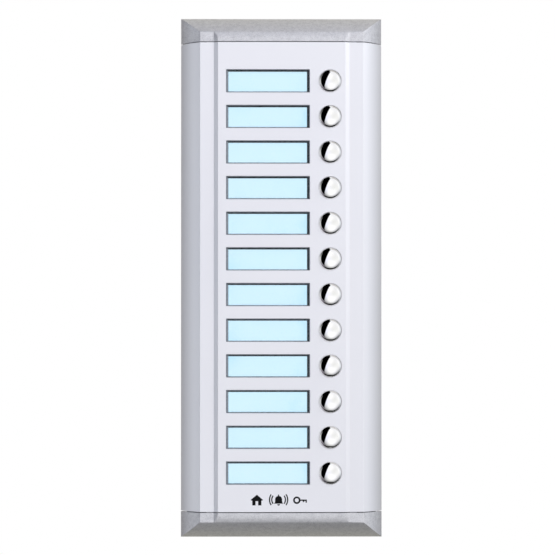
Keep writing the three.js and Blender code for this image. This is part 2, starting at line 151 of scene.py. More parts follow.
def pad(x0, x1, z0, z1, h0, h1, r=0.5, edge=0.2, n=5, both=False, e=3):
    """A block with rounded corners and a rounded front edge (and rear edge if both)."""
    loops = []
    if both:
        for k in range(e + 1):
            a = math.pi / 2 * k / e
            d = edge * (1 - math.sin(a))
            loops.append(
                rounded(
                    x0 + d, x1 - d, z0 + d, z1 - d, max(r - d, 0.02),
                    h0 + edge * (1 - math.cos(a)), n,
                )
            )
    else:
        loops.append(rounded(x0, x1, z0, z1, r, h0, n))
    for k in range(e + 1):
        a = math.pi / 2 * k / e
        d = edge * (1 - math.cos(a))
        loops.append(
            rounded(
                x0 + d, x1 - d, z0 + d, z1 - d, max(r - d, 0.02),
                h1 - edge * (1 - math.sin(a)), n,
            )
        )
    return loft(loops)


def fillet(points, radii, n=4):
    """A polyline with its corners rounded: radii is one number per point, 0 for sharp."""
    out = []
    last = len(points) - 1
    for i, (p, r) in enumerate(zip(points, radii)):
        if not r or i in (0, last):
            out.append(tuple(p))
            continue
        P = Vector(p)
        a = (Vector(points[i - 1]) - P)
        b = (Vector(points[i + 1]) - P)
        ang = a.angle(b)
        d = r / math.tan(ang / 2)
        d = min(d, a.length * 0.45, b.length * 0.45)
        r2 = d * math.tan(ang / 2)
        an, bn = a.normalized(), b.normalized()
        c = P + (an + bn).normalized() * (r2 / math.sin(ang / 2))
        s, e = P + an * d - c, P + bn * d - c
        sweep = s.angle_signed(e)
        for k in range(n + 1):
            t = sweep * k / n
            # angle_signed is clockwise-positive
            q = Vector(
                (
                    s.x * math.cos(-t) - s.y * math.sin(-t),
                    s.x * math.sin(-t) + s.y * math.cos(-t),
                )
            )
            out.append(tuple(c + q))
    return out


def boolean(ob, cutters, op="DIFFERENCE"):
    """Cuts with the mesh of (verts, faces) and applies it."""
    tool = new_object("cutter_tmp", *join_parts(cutters))
    m = ob.modifiers.new("cut", "BOOLEAN")
    m.operation = op
    m.solver = "EXACT"
    m.object = tool
    dg = bpy.context.evaluated_depsgraph_get()
    me = bpy.data.meshes.new_from_object(ob.evaluated_get(dg))
    ob.modifiers.clear()
    old = ob.data
    ob.data = me
    me.name = ob.name
    bpy.data.meshes.remove(old)
    tm = tool.data
    bpy.data.objects.remove(tool)
    bpy.data.meshes.remove(tm)
    me.polygons.foreach_set("use_smooth", [True] * len(me.polygons))
    return ob


def finish_edges(ob, sharp=34):
    ob.data.set_sharp_from_angle(angle=math.radians(sharp))
    w = ob.modifiers.new("weighted", "WEIGHTED_NORMAL")
    w.keep_sharp = True
    w.weight = 60


def piece(ob, material, body=ROOT, stands_for=()):
    ob.data.materials.clear()
    ob.data.materials.append(material)
    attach(ob, body)
    if stands_for:
        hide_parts(*stands_for)
    return ob


# ------------------------------------------------------------------ materials
def nodes_of(name):
    m = bpy.data.materials.new(name)
    m.use_nodes = True
    t = m.node_tree
    t.nodes.clear()
    out = t.nodes.new("ShaderNodeOutputMaterial")
    b = t.nodes.new("ShaderNodeBsdfPrincipled")
    t.links.new(b.outputs[0], out.inputs[0])
    return m, t, b


def coords(t, scale=(1, 1, 1)):
    c = t.nodes.new("ShaderNodeTexCoord")
    mp = t.nodes.new("ShaderNodeMapping")
    mp.inputs["Scale"].default_value = scale
    t.links.new(c.outputs["Object"], mp.inputs["Vector"])
    return mp.outputs["Vector"]


def noise(t, vec, scale, detail=3.0, rough=0.55, distortion=0.0):
    n = t.nodes.new("ShaderNodeTexNoise")
    n.inputs["Scale"].default_value = scale
    n.inputs["Detail"].default_value = detail
    n.inputs["Roughness"].default_value = rough
    n.inputs["Distortion"].default_value = distortion
    t.links.new(vec, n.inputs["Vector"])
    return n.outputs["Fac"]


def ramp(t, fac, stops):
    r = t.nodes.new("ShaderNodeValToRGB")
    els = r.color_ramp.elements
    while len(els) > len(stops):
        els.remove(els[-1])
    while len(els) < len(stops):
        els.new(0.5)
    for e, (p, c) in zip(els, stops):
        e.position = p
        e.color = (*c, 1.0) if len(c) == 3 else c
    t.links.new(fac, r.inputs["Fac"])
    return r.outputs["Color"]


def spread(t, fac, lo, hi, a=0.3, b=0.7):
    """Maps a..b of fac to lo..hi."""
    m = t.nodes.new("ShaderNodeMapRange")
    m.inputs["From Min"].default_value = a
    m.inputs["From Max"].default_value = b
    m.inputs["To Min"].default_value = lo
    m.inputs["To Max"].default_value = hi
    t.links.new(fac, m.inputs["Value"])
    return m.outputs["Result"]


def bump(t, height, b, strength, distance):
    n = t.nodes.new("ShaderNodeBump")
    n.inputs["Strength"].default_value = strength
    n.inputs["Distance"].default_value = distance
    t.links.new(height, n.inputs["Height"])
    t.links.new(n.outputs["Normal"], b.inputs["Normal"])
    return n


def mat_aluminium():
    """Satin anodised extrusion: long faint die lines, a fine matt etch that scatters."""
    m, t, b = nodes_of("satin_anodised_aluminium")
    b.inputs["Metallic"].default_value = 0.4
    lines = noise(t, coords(t, (5200, 5200, 14)), 1.0, 2.0, 0.5)
    etch = noise(t, coords(t, (1, 1, 1)), 5200, 2.0, 0.6)
    cloud = noise(t, coords(t, (1, 1, 1)), 14, 2.0, 0.5)
    mix = t.nodes.new("ShaderNodeMath")
    mix.operation = "MULTIPLY_ADD"
    mix.inputs[1].default_value = 0.25
    t.links.new(lines, mix.inputs[0])
    t.links.new(cloud, mix.inputs[2])
    colour = ramp(
        t,
        mix.outputs[0],
        [(0.35, (0.93, 0.93, 0.965)), (0.75, (0.955, 0.955, 0.985))],
    )
    t.links.new(colour, b.inputs["Base Color"])
    t.links.new(spread(t, lines, 0.33, 0.40), b.inputs["Roughness"])
    h = t.nodes.new("ShaderNodeMath")
    h.operation = "MULTIPLY_ADD"
    h.inputs[1].default_value = 0.5
    t.links.new(etch, h.inputs[0])
    t.links.new(lines, h.inputs[2])
    bump(t, h.outputs[0], b, 0.10, 0.00004)
    return m


def mat_cap():
    """Silver paint over a die casting, with a sandy grain."""
    m, t, b = nodes_of("silver_cap_paint")
    b.inputs["Metallic"].default_value = 0.5
    grain = noise(t, coords(t), 1900, 3.0, 0.65)
    fleck = noise(t, coords(t), 4200, 1.0, 0.5)
    cloud = noise(t, coords(t), 420, 2.0, 0.5)
    mix = t.nodes.new("ShaderNodeMath")
    mix.operation = "MULTIPLY_ADD"
    mix.inputs[1].default_value = 2.2
    t.links.new(grain, mix.inputs[0])
    t.links.new(cloud, mix.inputs[2])
    colour = ramp(
        t,
        spread(t, mix.outputs[0], 0.0, 1.0, 1.1, 2.1),
        [
            (0.0, (0.58, 0.58, 0.61)),
            (0.5, (0.757, 0.757, 0.78)),
            (1.0, (0.865, 0.865, 0.89)),
        ],
    )
    t.links.new(colour, b.inputs["Base Color"])
    t.links.new(spread(t, fleck, 0.36, 0.52), b.inputs["Roughness"])
    bump(t, grain, b, 0.35, 0.00008)
    return m


def mat_chrome():
    """Polished chrome plate with the faintest haze."""
    m, t, b = nodes_of("polished_chrome")
    b.inputs["Metallic"].default_value = 1.0
    haze = noise(t, coords(t), 300, 3.0, 0.5)
    t.links.new(
        ramp(t, haze, [(0.3, (0.935, 0.935, 0.93)), (0.7, (0.965, 0.965, 0.96))]),
        b.inputs["Base Color"],
    )
    t.links.new(spread(t, haze, 0.02, 0.045), b.inputs["Roughness"])
    return m


def mat_clear():
    """Clear moulded window."""
    m, t, b = nodes_of("clear_window_plastic")
    b.inputs["Base Color"].default_value = (0.94, 0.985, 1.0, 1.0)
    b.inputs["Transmission Weight"].default_value = 1.0
    b.inputs["IOR"].default_value = 1.49
    haze = noise(t, coords(t), 500, 2.0, 0.5)
    t.links.new(spread(t, haze, 0.01, 0.04), b.inputs["Roughness"])
    return m


def mat_card():
    """Translucent name card; its backlight is painted in as a glow of its own, even over the card but for a painted
    shade that dims it near its ends.
    """
    m, t, b = nodes_of("lit_name_card")
    fibre = noise(t, coords(t, (1, 1, 1)), 900, 4.0, 0.6)
    cloud = noise(t, coords(t), 45, 2.0, 0.5)
    mix = t.nodes.new("ShaderNodeMath")
    mix.operation = "MULTIPLY_ADD"
    mix.inputs[1].default_value = 0.18
    t.links.new(fibre, mix.inputs[0])
    t.links.new(cloud, mix.inputs[2])
    # painted shade: the glow dims towards the ends of the card, from its place along X
    c = t.nodes.new("ShaderNodeTexCoord")
    s = t.nodes.new("ShaderNodeSeparateXYZ")
    t.links.new(c.outputs["Object"], s.inputs[0])
    off = t.nodes.new("ShaderNodeMath")
    off.operation = "ADD"
    off.inputs[1].default_value = 0.0105
    t.links.new(s.outputs["X"], off.inputs[0])
    ab = t.nodes.new("ShaderNodeMath")
    ab.operation = "ABSOLUTE"
    t.links.new(off.outputs[0], ab.inputs[0])
    painted_end_shade = spread(t, ab.outputs[0], 0.0, 0.28, 0.014, 0.027)
    sub = t.nodes.new("ShaderNodeMath")
    sub.operation = "SUBTRACT"
    t.links.new(mix.outputs[0], sub.inputs[0])
    t.links.new(painted_end_shade, sub.inputs[1])
    # painted light: the card's emission stands in for the lamps behind it
    glow = ramp(
        t,
        sub.outputs[0],
        [(0.15, (0.47, 0.72, 0.86)), (0.42, (0.565, 0.765, 0.86)), (0.7, (0.585, 0.775, 0.865))],
    )
    t.links.new(glow, b.inputs["Emission Color"])
    b.inputs["Emission Strength"].default_value = 1.09
    t.links.new(
        ramp(t, fibre, [(0.3, (0.11, 0.155, 0.17)), (0.7, (0.13, 0.17, 0.185))]),
        b.inputs["Base Color"],
    )
    b.inputs["Roughness"].default_value = 0.6
    return m


def mat_plastic(name, lo, hi, rough=(0.42, 0.55), grain=1500, strength=0.25, dist=0.00006):
    """Moulded plastic with a spark-eroded grain."""
    m, t, b = nodes_of(name)
    g = noise(t, coords(t), grain, 3.0, 0.6)
    c = noise(t, coords(t), 55, 3.0, 0.5)
    mix = t.nodes.new("ShaderNodeMath")
    mix.operation = "MULTIPLY_ADD"
    mix.inputs[1].default_value = 0.5
    t.links.new(g, mix.inputs[0])
    t.links.new(c, mix.inputs[2])
    t.links.new(ramp(t, mix.outputs[0], [(0.45, lo), (1.0, hi)]), b.inputs["Base Color"])
    t.links.new(spread(t, g, *rough), b.inputs["Roughness"])
    bump(t, g, b, strength, dist)
    return m


def mat_metal(name, lo, hi, rough=(0.22, 0.38), scale=900, stretch=(1, 1, 1), strength=0.1):
    m, t, b = nodes_of(name)
    b.inputs["Metallic"].default_value = 1.0
    g = noise(t, coords(t, stretch), scale, 3.0, 0.6)
    t.links.new(ramp(t, g, [(0.3, lo), (0.7, hi)]), b.inputs["Base Color"])
    t.links.new(spread(t, g, *rough), b.inputs["Roughness"])
    bump(t, g, b, strength, 0.00003)
    return m


def mat_board():
    """Green solder mask over bundles of copper tracks that run two ways."""
    m, t, b = nodes_of("solder_mask_green")
    vec = coords(t)
    cell = t.nodes.new("ShaderNodeTexVoronoi")
    cell.distance = "CHEBYCHEV"
    cell.inputs["Scale"].default_value = 120
    t.links.new(vec, cell.inputs["Vector"])
    pick = t.nodes.new("ShaderNodeSeparateColor")
    t.links.new(cell.outputs["Color"], pick.inputs[0])
    bands = []
    for way in ("X", "Z"):
        w = t.nodes.new("ShaderNodeTexWave")
        w.wave_type = "BANDS"
        w.bands_direction = way
        w.inputs["Scale"].default_value = 400
        w.inputs["Distortion"].default_value = 0.0
        t.links.new(vec, w.inputs["Vector"])
        bands.append(spread(t, w.outputs["Fac"], 0.0, 1.0, 0.35, 0.65))
    choose = t.nodes.new("ShaderNodeMix")
    t.links.new(spread(t, pick.outputs[0], 0.0, 1.0, 0.48, 0.52), choose.inputs["Factor"])
    t.links.new(bands[0], choose.inputs["A"])
    t.links.new(bands[1], choose.inputs["B"])
    plane = spread(t, pick.outputs[1], 0.0, 1.0, 0.60, 0.62)
    track = t.nodes.new("ShaderNodeMath")
    track.operation = "MAXIMUM"
    t.links.new(choose.outputs["Result"], track.inputs[0])
    t.links.new(plane, track.inputs[1])
    weave = noise(t, vec, 1400, 2.0, 0.5)
    mix = t.nodes.new("ShaderNodeMath")
    mix.operation = "MULTIPLY_ADD"
    mix.inputs[1].default_value = 0.25
    t.links.new(weave, mix.inputs[0])
    t.links.new(track.outputs[0], mix.inputs[2])
    t.links.new(
        ramp(t, mix.outputs[0], [(0.1, (0.010, 0.125, 0.045)), (1.0, (0.022, 0.25, 0.09))]),
        b.inputs["Base Color"],
    )
    t.links.new(spread(t, weave, 0.26, 0.36), b.inputs["Roughness"])
    bump(t, track.outputs[0], b, 0.25, 0.00003)
    return m


def mat_rim():
    """Black carrier plastic; the sloping window rims in front are satin gunmetal."""
    m, t, b = nodes_of("carrier_with_satin_rims")
    c = t.nodes.new("ShaderNodeTexCoord")
    s = t.nodes.new("ShaderNodeSeparateXYZ")
    t.links.new(c.outputs["Object"], s.inputs[0])
    front = spread(t, s.outputs["Y"], 1.0, 0.0, -0.0164, -0.0160)
    g = noise(t, coords(t), 1500, 3.0, 0.6)
    rim = ramp(t, g, [(0.3, (0.235, 0.265, 0.305)), (0.7, (0.285, 0.315, 0.355))])
    body = ramp(t, g, [(0.3, (0.012, 0.012, 0.014)), (0.7, (0.03, 0.03, 0.034))])
    mix = t.nodes.new("ShaderNodeMix")
    mix.data_type = "RGBA"
    t.links.new(front, mix.inputs["Factor"])
    t.links.new(body, mix.inputs["A"])
    t.links.new(rim, mix.inputs["B"])
    t.links.new(mix.outputs["Result"], b.inputs["Base Color"])
    t.links.new(front, b.inputs["Metallic"])
    t.links.new(spread(t, g, 0.24, 0.32), b.inputs["Roughness"])
    bump(t, g, b, 0.1, 0.00002)
    return m


def mat_ink():
    m, t, b = nodes_of("printed_ink")
    g = noise(t, coords(t), 2600, 3.0, 0.6)
    t.links.new(ramp(t, g, [(0.3, (0.003, 0.003, 0.004)), (0.7, (0.008, 0.008, 0.009))]), b.inputs["Base Color"])
    b.inputs["Specular IOR Level"].default_value = 0.12
    t.links.new(spread(t, g, 0.5, 0.65), b.inputs["Roughness"])
    bump(t, g, b, 0.15, 0.00002)
    return m


ALU = mat_aluminium()
CAP = mat_cap()
CHROME = mat_chrome()
CLEAR = mat_clear()
CARD = mat_card()
BLACK = mat_plastic("satin_black_plastic", (0.012, 0.012, 0.014), (0.03, 0.03, 0.034), (0.38, 0.5))
BASE = mat_plastic("textured_black_base", (0.035, 0.036, 0.038), (0.052, 0.053, 0.056), (0.5, 0.62), 1300, 0.5, 0.0001)
RIM = mat_rim()
OPAL = mat_plastic("opal_diffuser", (0.80, 0.84, 0.85), (0.88, 0.91, 0.92), (0.4, 0.5))
RUBBER = mat_plastic("grey_silicone", (0.24, 0.25, 0.26), (0.33, 0.34, 0.35), (0.7, 0.85))
FOAM = mat_plastic("gasket_foam", (0.010, 0.010, 0.010), (0.035, 0.035, 0.035), (0.85, 1.0), 2600, 0.9, 0.0002)
GREEN = mat_plastic("terminal_green_plastic", (0.03, 0.24, 0.07), (0.05, 0.33, 0.10), (0.35, 0.45))
CHIP = mat_plastic("chip_epoxy", (0.018, 0.018, 0.02), (0.04, 0.04, 0.042), (0.5, 0.65), 3200)
CERAMIC = mat_plastic("chip_ceramic", (0.42, 0.30, 0.19), (0.52, 0.38, 0.25), (0.4, 0.5), 3000)
BOARD = mat_board()
INK = mat_ink()
ZINC = mat_metal("bright_zinc_plate", (0.60, 0.61, 0.62), (0.74, 0.75, 0.76))
TIN = mat_metal("tinned_solder", (0.66, 0.67, 0.68), (0.80, 0.80, 0.80), (0.18, 0.32), 2500)
GOLD = mat_metal("gold_flash_pin", (0.78, 0.58, 0.22), (0.88, 0.68, 0.30), (0.16, 0.28), 1500)
CAN = mat_metal("capacitor_can", (0.70, 0.70, 0.71), (0.80, 0.80, 0.81), (0.25, 0.38), 1800)

# -------------------------------------------------------------- the contour
FLANK_W = PANEL_W / 2 - X_CREASE
FLANK_D = H_LEDGE - H_LAND
_chord = math.hypot(FLANK_W, FLANK_D)
_ca = math.atan2(FLANK_D, FLANK_W)
FLANK_R = _chord / (2 * math.sin(_ca - FLANK_START))
FLANK_C = (X_CREASE - FLANK_R * math.sin(FLANK_START), H_LEDGE - FLANK_R * math.cos(FLANK_START))
FLANK_END = 2 * _ca - FLANK_START


def flank(r, n, a0=FLANK_START, a1=FLANK_END):
    return [
        (FLANK_C[0] + r * math.sin(a0 + (a1 - a0) * i / n), FLANK_C[1] + r * math.cos(a0 + (a1 - a0) * i / n))
        for i in range(n + 1)
    ]


def outer_half(n=28):
    """Right half of the outside, rear edge to the middle, with its edges rounded."""
    pts = [(PANEL_W / 2 - 0.15, H_REAR), (PANEL_W / 2, H_REAR + 0.15)]
    rad = [0, 0]
    arc = flank(FLANK_R, n)[::-1]
    pts += arc
    rad += [0] * (len(arc) - 1) + [0.45]
    pts += [(X_STEP, H_LEDGE), (X_PLATEAU, H_PLATEAU), (0, H_PLATEAU)]
    rad += [0.35, 0.4, 0]
    return fillet(pts, rad, 4)


def inner_half(t, n=12):
    r = FLANK_R - t
    a0 = math.acos((H_LEDGE - t - FLANK_C[1]) / r)
    a1 = math.acos((H_REAR - FLANK_C[1]) / r)
    ln = math.hypot(1.6, 2.5)
    px, ph = X_PLATEAU - t * 1.6 / ln, H_PLATEAU - t * 2.5 / ln
    slope = 2.5 / 1.6
    return (
        flank(r, n, a0, a1)[::-1],
        (px + (ph - (H_LEDGE - t)) * slope, H_LEDGE - t),
        (px + (ph - (H_PLATEAU - t)) * slope, H_PLATEAU - t),
    )


# --------------------------------------------------------------- front panel
outer = outer_half()
outline = outer + [(-x, h) for x, h in reversed(outer[:-1])]
arc, foot, top = inner_half(WALL)
inner = []
for x, h in arc:
    if x > 52.4:
        inner.append((x, h))


def arc_h(x):
    return FLANK_C[1] + math.sqrt((FLANK_R - WALL) ** 2 - (x - FLANK_C[0]) ** 2)


ledge = H_LEDGE - WALL
x_flat = arc[-1][0]
inner += [
    (52.4, arc_h(52.4)), (52.4, 3.1), (51.2, 3.1), (51.2, arc_h(51.2)),
    (x_flat, ledge) if x_flat > 48.6 else (48.7, ledge),
    (48.6, ledge), (48.6, 3.1), (47.4, 3.1), (47.4, ledge),
    foot, top,
]
def inset(points, d):
    """The outline moved inwards by d."""
    out = []
    for i, (x, h) in enumerate(points):
        a, b = points[max(i - 1, 0)], points[min(i + 1, len(points) - 1)]
        tx, th = b[0] - a[0], b[1] - a[1]
        ln = math.hypot(tx, th)
        out.append((x - d * th / ln, max(h + d * tx / ln, H_REAR)))
    return out


END = HALF_LEN - 0.08
loops = []
steps = [(END - 0.24 * (1 - math.sin(math.pi / 2 * k / 4)), 0.24 * (1 - math.cos(math.pi / 2 * k / 4))) for k in range(5)]
for z, d in [(-z, d) for z, d in reversed(steps)] + steps:
    section = inset(outline, d) + [(-x, h) for x, h in inner] + list(reversed(inner))
    loops.append([(x, h, z) for x, h in section])
panel = new_object("front_panel_shell", *loft(loops))


def window_cutter(z):
    x0, x1, z0, z1 = WIN_X0, WIN_X1, z - WIN_H / 2, z + WIN_H / 2
    out = [rounded(x0, x1, z0, z1, 0.45, H_PLATEAU - WALL - 2, 4), rounded(x0, x1, z0, z1, 0.45, H_PLATEAU - 0.28, 4)]
    for k in range(1, 5):
        a = math.pi / 2 * k / 5
        d = 0.28 * (1 - math.cos(a))
        out.append(rounded(x0 - d, x1 + d, z0 - d, z1 + d, 0.45 + d, H_PLATEAU - 0.28 * (1 - math.sin(a)), 4))
    out.append(rounded(x0 - 0.30, x1 + 0.30, z0 - 0.30, z1 + 0.30, 0.75, H_PLATEAU + 0.03, 4))
    out.append(rounded(x0 - 0.30, x1 + 0.30, z0 - 0.30, z1 + 0.30, 0.75, H_PLATEAU + 2, 4))
    return loft(out)


def hole_cutter(z):
    r = HOLE_R
    out = [ring(BUTTON_X, z, r, H_PLATEAU - WALL - 2, 56), ring(BUTTON_X, z, r, H_PLATEAU - 0.25, 56)]
    for k in range(1, 5):
        a = math.pi / 2 * k / 5
        out.append(ring(BUTTON_X, z, r + 0.25 * (1 - math.cos(a)), H_PLATEAU - 0.25 * (1 - math.sin(a)), 56))
    out.append(ring(BUTTON_X, z, r + 0.27, H_PLATEAU + 0.03, 56))
    out.append(ring(BUTTON_X, z, r + 0.27, H_PLATEAU + 2, 56))
    return loft(out)


boolean(panel, [window_cutter(row_z(i)) for i in range(ROWS)] + [hole_cutter(row_z(i)) for i in range(ROWS)])
finish_edges(panel, 32)
piece(panel, ALU, stands_for=["front_panel"])


# ------------------------------------------------------------------- end caps
def lookup(poly):
    """Height as a function of place, from a polyline that runs from the edge inwards."""
    pts = sorted((abs(x), h) for x, h in poly)
    xs = [p[0] for p in pts]

    def f(x):
        x = abs(x)
        if x <= xs[0]:
            return pts[0][1]
        for (xa, ha), (xb, hb) in zip(pts, pts[1:]):
            if x <= xb:
                return ha if xb == xa else ha + (hb - ha) * (x - xa) / (xb - xa)
        return pts[-1][1]

    return f


def smooth_min(a, b, k):
    d = max(k - abs(a - b), 0.0) / k
    return min(a, b) - d * d * k * 0.25


def shares(n):
    """The flank from crease to land as (share of width, share of drop)."""
    return [((x - X_CREASE) / FLANK_W, (H_LEDGE - h) / FLANK_D) for x, h in flank(FLANK_R, n)]


def cap_mesh(top_end):
    z0, half = HALF_LEN + SEAM + 0.06, PANEL_H / 2
    hx = lookup([p for p in outer if p[1] > H_LAND] + [(PANEL_W / 2, H_LAND)])
    bev = shares(26)
    depth = half - Z_RAMP
    side = fillet(
        [(z0, H_PLATEAU), (147.7, 17.73), (149.7, 17.2)]
        + [(Z_RAMP + a * depth, H_LEDGE - b * FLANK_D) for a, b in bev],
        [0, 2.5, 2.5, 0.5] + [0] * (len(bev) - 1),
        4,
    )
    hz = lookup(side)

    def height(x, z):
        h = smooth_min(hx(x), hz(z), 0.22)
        if z < z0 + 0.22:  # the rounded edge at the seam
            d = (z0 + 0.22 - z) / 0.22
            h -= 0.22 * (1 - math.sqrt(max(0.0, 1 - d * d)))
        return h

    # columns: fine on the flank and near each crease
    xs = [X_CREASE + a * FLANK_W for a, _ in bev]
    for x in (50.1, 50.35, 49.4, 46.2, 43.2, 42.4, 42.15, 41.9, 41.65, 41.2, 40.6, 40.0, 39.7, 39.4, 39.15, 38.8, 37, 33, 27, 20, 13, 6):
        xs.append(x)
    xs = sorted(xs)
    xs = [-x for x in reversed(xs)] + [0.0] + xs
    zs = sorted({z0, z0 + 0.03, z0 + 0.08, z0 + 0.15, z0 + 0.24, z0 + 0.5, 147, 148.2, 149.4, 150.3, 150.9, 151.2} | {round(z, 5) for z in (Z_RAMP + a * depth for a, _ in bev)})
    nx, nz = len(xs), len(zs)
    t = CAP_WALL
    iarc, ifoot, itop = inner_half(t)
    hxi = lookup([p for p in iarc] + [ifoot, itop, (0, H_PLATEAU - t)])
    iside = [(z0 - 1, H_PLATEAU - t + 0.27)] + [
        (Z_RAMP - 0.7 + a * (depth - t + 0.7), H_LEDGE - t - b * (FLANK_D - t + 0.6)) for a, b in bev
    ]
    hzi = lookup(iside)
    xi_max = iarc[0][0] - 0.02
    zi_max = half - t - 0.02
    verts = []
    for z in zs:
        for x in xs:
            verts.append((x, height(x, z), z))
    for z in zs:
        zi = z0 + (z - z0) * (zi_max - z0) / (half - z0)
        for x in xs:
            xi = x * xi_max / (PANEL_W / 2)
            verts.append((xi, max(min(hxi(xi), hzi(zi)), H_REAR + 0.3), zi))
    N = nx * nz
    faces = []
    idx = lambda i, j, s=0: s * N + j * nx + i
    for j in range(nz - 1):
        for i in range(nx - 1):
            a, b, c, d = idx(i, j), idx(i + 1, j), idx(i + 1, j + 1), idx(i, j + 1)
            # split along the mitre in the corners
            if xs[i] >= X_CREASE - 1e-6 and zs[j] >= Z_RAMP - 1e-6:
                faces += [(a, b, c), (a, c, d)]
            elif xs[i + 1] <= -X_CREASE + 1e-6 and zs[j] >= Z_RAMP - 1e-6:
                faces += [(a, b, d), (b, c, d)]
            else:
                faces.append((a, b, c, d))
            faces.append((idx(i, j, 1), idx(i, j + 1, 1), idx(i + 1, j + 1, 1), idx(i + 1, j, 1)))
    # skirts: outer down to the rear edge, inner down to the rear edge, and the rim between
    path = [(0, j) for j in range(nz)] + [(i, nz - 1) for i in range(1, nx)] + [(nx - 1, j) for j in range(nz - 2, -1, -1)]
    rows = []
    for s in (0, 1):
        base = len(verts)
        for i, j in path:
            x, _, z = verts[idx(i, j, s)]
            verts.append((x, H_REAR, z))
        rows.append(base)
    for k in range(len(path) - 1):
        o0, o1 = idx(*path[k]), idx(*path[k + 1])
        faces.append((o0, o1, rows[0] + k + 1, rows[0] + k))
        p0, p1 = idx(*path[k], 1), idx(*path[k + 1], 1)
        faces.append((p0, rows[1] + k, rows[1] + k + 1, p1))
        faces.append((rows[0] + k, rows[0] + k + 1, rows[1] + k + 1, rows[1] + k))
    # the face at the seam
    for i in range(nx - 1):
        faces.append((idx(i, 0), idx(i, 0, 1), idx(i + 1, 0, 1), idx(i + 1, 0)))
    L = len(path) - 1
    faces.append((idx(0, 0), rows[0], rows[1], idx(0, 0, 1)))
    faces.append((idx(nx - 1, 0), idx(nx - 1, 0, 1), rows[1] + L, rows[0] + L))
    # the tongues that reach into the extrusion
    parts = [(verts, faces)]
    prof = [
        (z0 + 5, 11.9), (z0 + 5, H_LEDGE - t + 0.3), (z0 + 0.2, H_LEDGE - t + 0.3), (z0 + 0.2, 14.1), (133.5, 14.1),
        (133, 13.4), (133, 11.9), (133.8, 11.2), (135.6, 10.4), (136.7, 10.4), (136.7, 11.9),
    ]
    for side_x in ((42, 46.4), (-46.4, -42)):
        parts.append(loft([[(x, h, z) for z, h in prof] for x in side_x]))
    v, f = join_parts(parts)
    if not top_end:
        v = [(x, h, -z) for x, h, z in v]
    return v, f


for top_end in (True, False):
    node = "top_end_cap" if top_end else "bottom_end_cap"
    ob = new_object(node + "_shell", *cap_mesh(top_end), sharp=40)
    piece(ob, CAP, stands_for=[node])

# -------------------------------------------------------------------- buttons
dome_r = 13.15


def button_profile():
    p = [(0.0, 12.2), (2.8, 12.2), (3.0, 12.4), (3.0, 14.9), (FLANGE_R - 0.15, 14.9), (FLANGE_R, 15.05), (FLANGE_R, 15.75), (FLANGE_R - 0.15, 15.9), (BUTTON_R, 15.9)]
    body = [(BUTTON_R, 18.12), (6.62, 18.42), (5.78, 19.12)]
    p += fillet([p[-1]] + body + [(5.2, 19.42)], [0, 0.25, 0.12, 0.12, 0], 4)[1:-1]
    for k in range(1, 15):
        r = 5.62 * (1 - k / 14)
        p.append((r, 20.5 - dome_r + math.sqrt(dome_r ** 2 - r ** 2)))
    return p


prof = button_profile()
for i in range(ROWS):
    z = row_z(i)
    loops = [ring(BUTTON_X, z, r, h, 72) for r, h in prof if r > 1e-6]
    v, f = loft(loops, ends=False)
    # close both ends at a point
    n = 72
    for (r, h), first in ((prof[0], True), (prof[-1], False)):
        v.append((BUTTON_X, h, z))
        c = len(v) - 1
        start = 0 if first else (len(loops) - 1) * n
        for k in range(n):
            a, b = start + k, start + (k + 1) % n
            f.append((c, b, a) if first else (c, a, b))
    ob = new_object(f"call_button_{i + 1:02d}_dome", v, f, sharp=50)
    piece(ob, CHROME, body=f"button_{i + 1:02d}", stands_for=[f"call_button_{i + 1:02d}"])

# ------------------------------------------------- windows, rims and name cards
ax = (AP_X0 + AP_X1) / 2
aw = (AP_X1 - AP_X0) / 2
for i in range(ROWS):
    z = row_z(i) - AP_DROP
    lens = []
    for g, h, r in ((0.55, 12.95, 0.3), (0.9, 13.2, 0.5), (0.9, 13.7, 0.5)):
        lens.append(rounded(ax - aw - g, ax + aw + g, z - 6.2 - (0.75 if g > 0.6 else 0.45), z + 6.2 + (0.75 if g > 0.6 else 0.45), r, h, 5))
    lens.append(rounded(ax - aw + 0.1, ax + aw - 0.1, z - 6.1, z + 6.1, 0.5, 13.7, 5))
    for k in range(4):
        a = math.pi / 2 * k / 3
        d = 0.25 * (1 - math.cos(a)) + 0.1
        lens.append(rounded(ax - aw + d, ax + aw - d, z - 6.2 + d, z + 6.2 - d, max(0.6 - d, 0.1), 16.5 - 0.25 * (1 - math.sin(a)), 5))
    ob = new_object(f"name_window_{i + 1:02d}_lens", *loft(lens), sharp=40)
    finish_edges(ob, 40)
    piece(ob, CLEAR, stands_for=[f"name_window_{i + 1:02d}"])

    card = pad(ax - aw - 0.8, ax + aw + 0.8, z - 6.9, z + 6.9, 12.55, 12.85, 0.6, 0.06, 4, True, 2)
    ob = new_object(f"name_card_{i + 1:02d}_film", *card, sharp=40)
    piece(ob, CARD, stands_for=[f"name_card_{i + 1:02d}"])

for name, mat, edge in (
    ("carrier_frame", RIM, 0), ("light_diffuser", OPAL, 0),
    ("base_plate", BASE, 0.25), ("wall_gasket", FOAM, 0.2),
):
    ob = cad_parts[name]
    ob.data.materials.clear()
    ob.data.materials.append(mat)
    if edge:
        m = ob.modifiers.new("edges", "BEVEL")
        m.width = edge * MM
        m.segments = 2
        m.limit_method = "ANGLE"
        m.angle_limit = math.radians(40)
